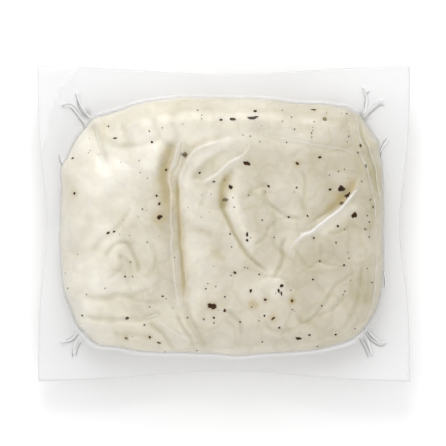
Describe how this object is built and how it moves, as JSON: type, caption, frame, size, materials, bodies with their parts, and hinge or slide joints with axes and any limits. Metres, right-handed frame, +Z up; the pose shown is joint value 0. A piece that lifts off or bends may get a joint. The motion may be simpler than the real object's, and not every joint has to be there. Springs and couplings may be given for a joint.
{
  "type": "vacuum-packed halloumi",
  "caption": "Folded block of halloumi with flecks of mint, sealed in a clear vacuum pouch with a flat drawn-in flange, lying on its back.",
  "frame": {"origin": "on the surface that the pouch lies on, below the middle of its outline", "axes": "+X along the pouch's longer side, +Y towards the pouch's upper edge, +Z up through the folded side of the cheese"},
  "size_m": [0.1302, 0.1103, 0.0271],
  "materials": {
    "cheese": "soft pressed curd, moist and slightly translucent",
    "film": "clear glossy vacuum film",
    "mint": "dry crumbled leaf"
  },
  "bodies": {
    "root": {"vacuum_pouch": "cheese"}
  },
  "joints": []
}
